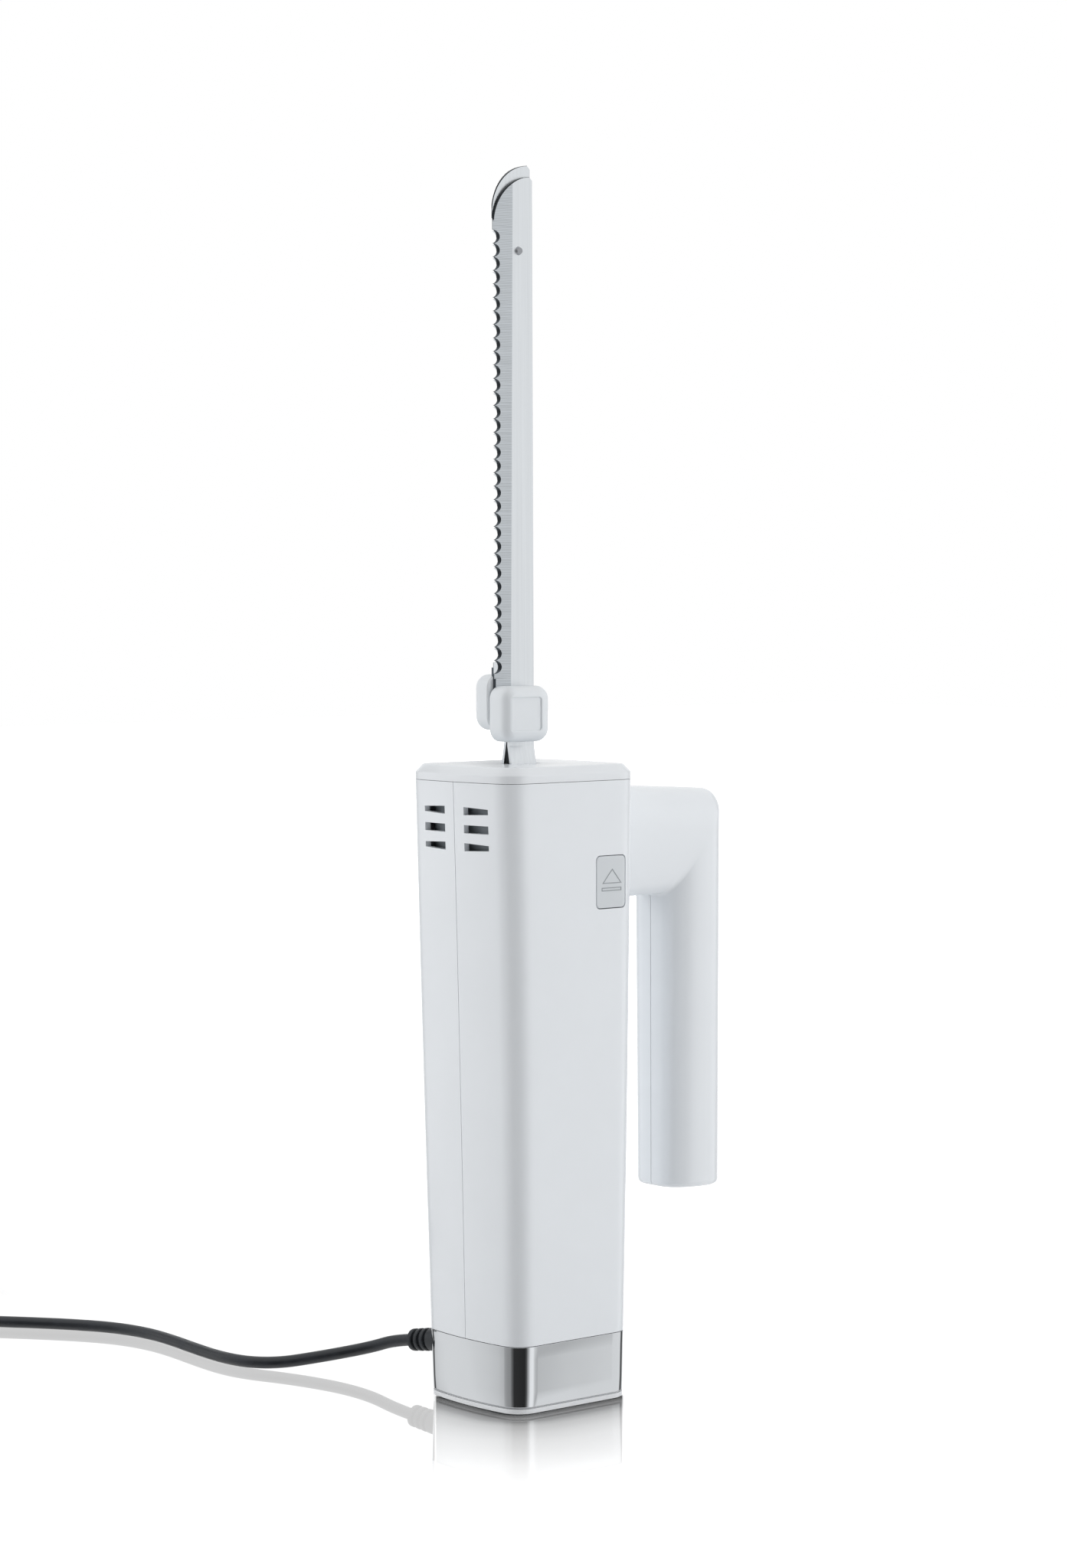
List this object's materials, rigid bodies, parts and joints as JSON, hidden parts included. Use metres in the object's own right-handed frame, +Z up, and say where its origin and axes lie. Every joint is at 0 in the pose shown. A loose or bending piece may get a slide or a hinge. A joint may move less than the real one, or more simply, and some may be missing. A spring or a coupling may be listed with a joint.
{
  "type": "electric carving knife",
  "caption": "Upright electric carving knife with a looped grip, twin scalloped reciprocating blades with finger guards, worm-drive motor and mains cord.",
  "frame": {"origin": "centre of the base plate's underside, where the knife stands", "axes": "+Z up along the blades, +X towards the grip, cutting edges towards -X, -Y the broad side with the release button that faces the camera"},
  "size_m": [0.2392, 0.3864, 0.4574],
  "materials": {
    "shell": "glossy white moulded plastic",
    "cap": "glossy white moulded plastic",
    "guard": "satin white moulded plastic",
    "key": "light grey moulded plastic",
    "band": "polished plated band",
    "blade": "ground stainless steel",
    "rivet": "turned stainless steel",
    "screw": "zinc-plated steel",
    "shaft": "ground steel",
    "lamination": "varnished iron laminations",
    "copper": "enamelled copper wire",
    "contact": "copper bars",
    "carbon": "graphite",
    "brass": "drawn brass",
    "bearing": "sintered bronze",
    "nylon": "natural nylon",
    "frame": "dark glass-filled plastic",
    "rubber": "black soft plastic",
    "plug": "black moulded plastic",
    "switch": "black switch body",
    "foil": "yellow film capacitor"
  },
  "bodies": {
    "housing": {"left_shell": "shell", "right_shell": "shell", "top_cap": "cap", "chrome_band": "band", "base_plate": "shell", "base_screws": "screw", "housing_screws": "screw", "grip_screw": "screw", "strain_relief": "rubber", "cord_tail": "rubber", "cord_clamp": "nylon", "cord": "rubber", "cord_coil": "rubber", "plug": "plug", "plug_pins": "brass", "gear_frame": "frame", "gear_axle": "shaft", "upper_bearing": "bearing", "middle_bearing": "bearing", "lower_bearing": "bearing", "stator_core": "lamination", "field_coils": "copper", "motor_bracket": "frame", "brush_holders": "brass", "carbon_brushes": "carbon", "brush_springs": "shaft", "suppression_capacitor": "foil", "switch_block": "switch", "switch_spring": "shaft", "button_spring_front": "shaft", "button_spring_rear": "shaft"},
    "armature": {"motor_shaft": "shaft", "worm": "shaft", "armature_core": "lamination", "armature_windings": "copper", "commutator": "contact", "cooling_fan": "nylon"},
    "wheel": {"worm_wheel": "nylon"},
    "front_carrier": {"carrier_front": "nylon"},
    "rear_carrier": {"carrier_rear": "nylon"},
    "front_blade": {"blade_front": "blade", "guard_front": "guard", "blade_rivet": "rivet"},
    "rear_blade": {"blade_rear": "blade", "guard_rear": "guard"},
    "front_latch": {"latch_clip_front": "frame"},
    "rear_latch": {"latch_clip_rear": "frame"},
    "front_key": {"release_button_front": "key"},
    "rear_key": {"release_button_rear": "key"},
    "power_key": {"power_button": "key"},
    "lock_key": {"lock_slider": "key"}
  },
  "joints": [
    {"name": "motor_spin", "type": "hinge", "parent": "housing", "child": "armature", "pos_m": [0.0092, 0, 0.13], "axis": [0, 0, 1], "range_deg": [-540, 1620]},
    {"name": "gear_turn", "type": "hinge", "parent": "housing", "child": "wheel", "pos_m": [-0.0028, 0, 0.176], "axis": [0, -1, 0], "range_deg": [-45.1, 135.1]},
    {"name": "front_stroke", "type": "slide", "parent": "housing", "child": "front_carrier", "axis": [0, 0, 1], "range_m": [-0.00211, 0.00631]},
    {"name": "rear_stroke", "type": "slide", "parent": "housing", "child": "rear_carrier", "axis": [0, 0, 1], "range_m": [-0.00631, 0.00211]},
    {"name": "front_blade_release", "type": "slide", "parent": "front_carrier", "child": "front_blade", "axis": [0, 0, 1], "range_m": [0, 0.045]},
    {"name": "rear_blade_release", "type": "slide", "parent": "rear_carrier", "child": "rear_blade", "axis": [0, 0, 1], "range_m": [0, 0.0451]},
    {"name": "front_key_press", "type": "slide", "parent": "housing", "child": "front_key", "axis": [0, 1, 0], "range_m": [0, 0.002], "stiffness_N_per_m": 800, "springref_m": -0.002},
    {"name": "rear_key_press", "type": "slide", "parent": "housing", "child": "rear_key", "axis": [0, -1, 0], "range_m": [0, 0.002], "stiffness_N_per_m": 800, "springref_m": -0.002},
    {"name": "front_latch_rock", "type": "hinge", "parent": "front_carrier", "child": "front_latch", "pos_m": [-0.0028, -0.0076, 0.207], "axis": [1, 0, 0], "range_deg": [-0.1, 10.47]},
    {"name": "rear_latch_rock", "type": "hinge", "parent": "rear_carrier", "child": "rear_latch", "pos_m": [-0.0028, 0.0076, 0.2112], "axis": [-1, 0, 0], "range_deg": [-0.1, 8.74]},
    {"name": "power_press", "type": "slide", "parent": "housing", "child": "power_key", "axis": [-1, 0, 0], "range_m": [0, 0.002], "stiffness_N_per_m": 900, "springref_m": -0.002},
    {"name": "lock_slide", "type": "slide", "parent": "housing", "child": "lock_key", "axis": [0, 0, 1], "range_m": [0, 0.004]}
  ],
  "couplings": [
    {"joint": "gear_turn", "follows": "motor_spin", "ratio": 0.083333},
    {"joint": "front_stroke", "follows": "motor_spin", "m_per_rad": 0.00022282},
    {"joint": "rear_stroke", "follows": "motor_spin", "m_per_rad": -0.00022282},
    {"joint": "rear_blade_release", "follows": "front_blade_release", "ratio": 1},
    {"joint": "front_latch_rock", "follows": "front_key_press", "rad_per_m": 90.476},
    {"joint": "rear_latch_rock", "follows": "rear_key_press", "rad_per_m": 75.397}
  ]
}
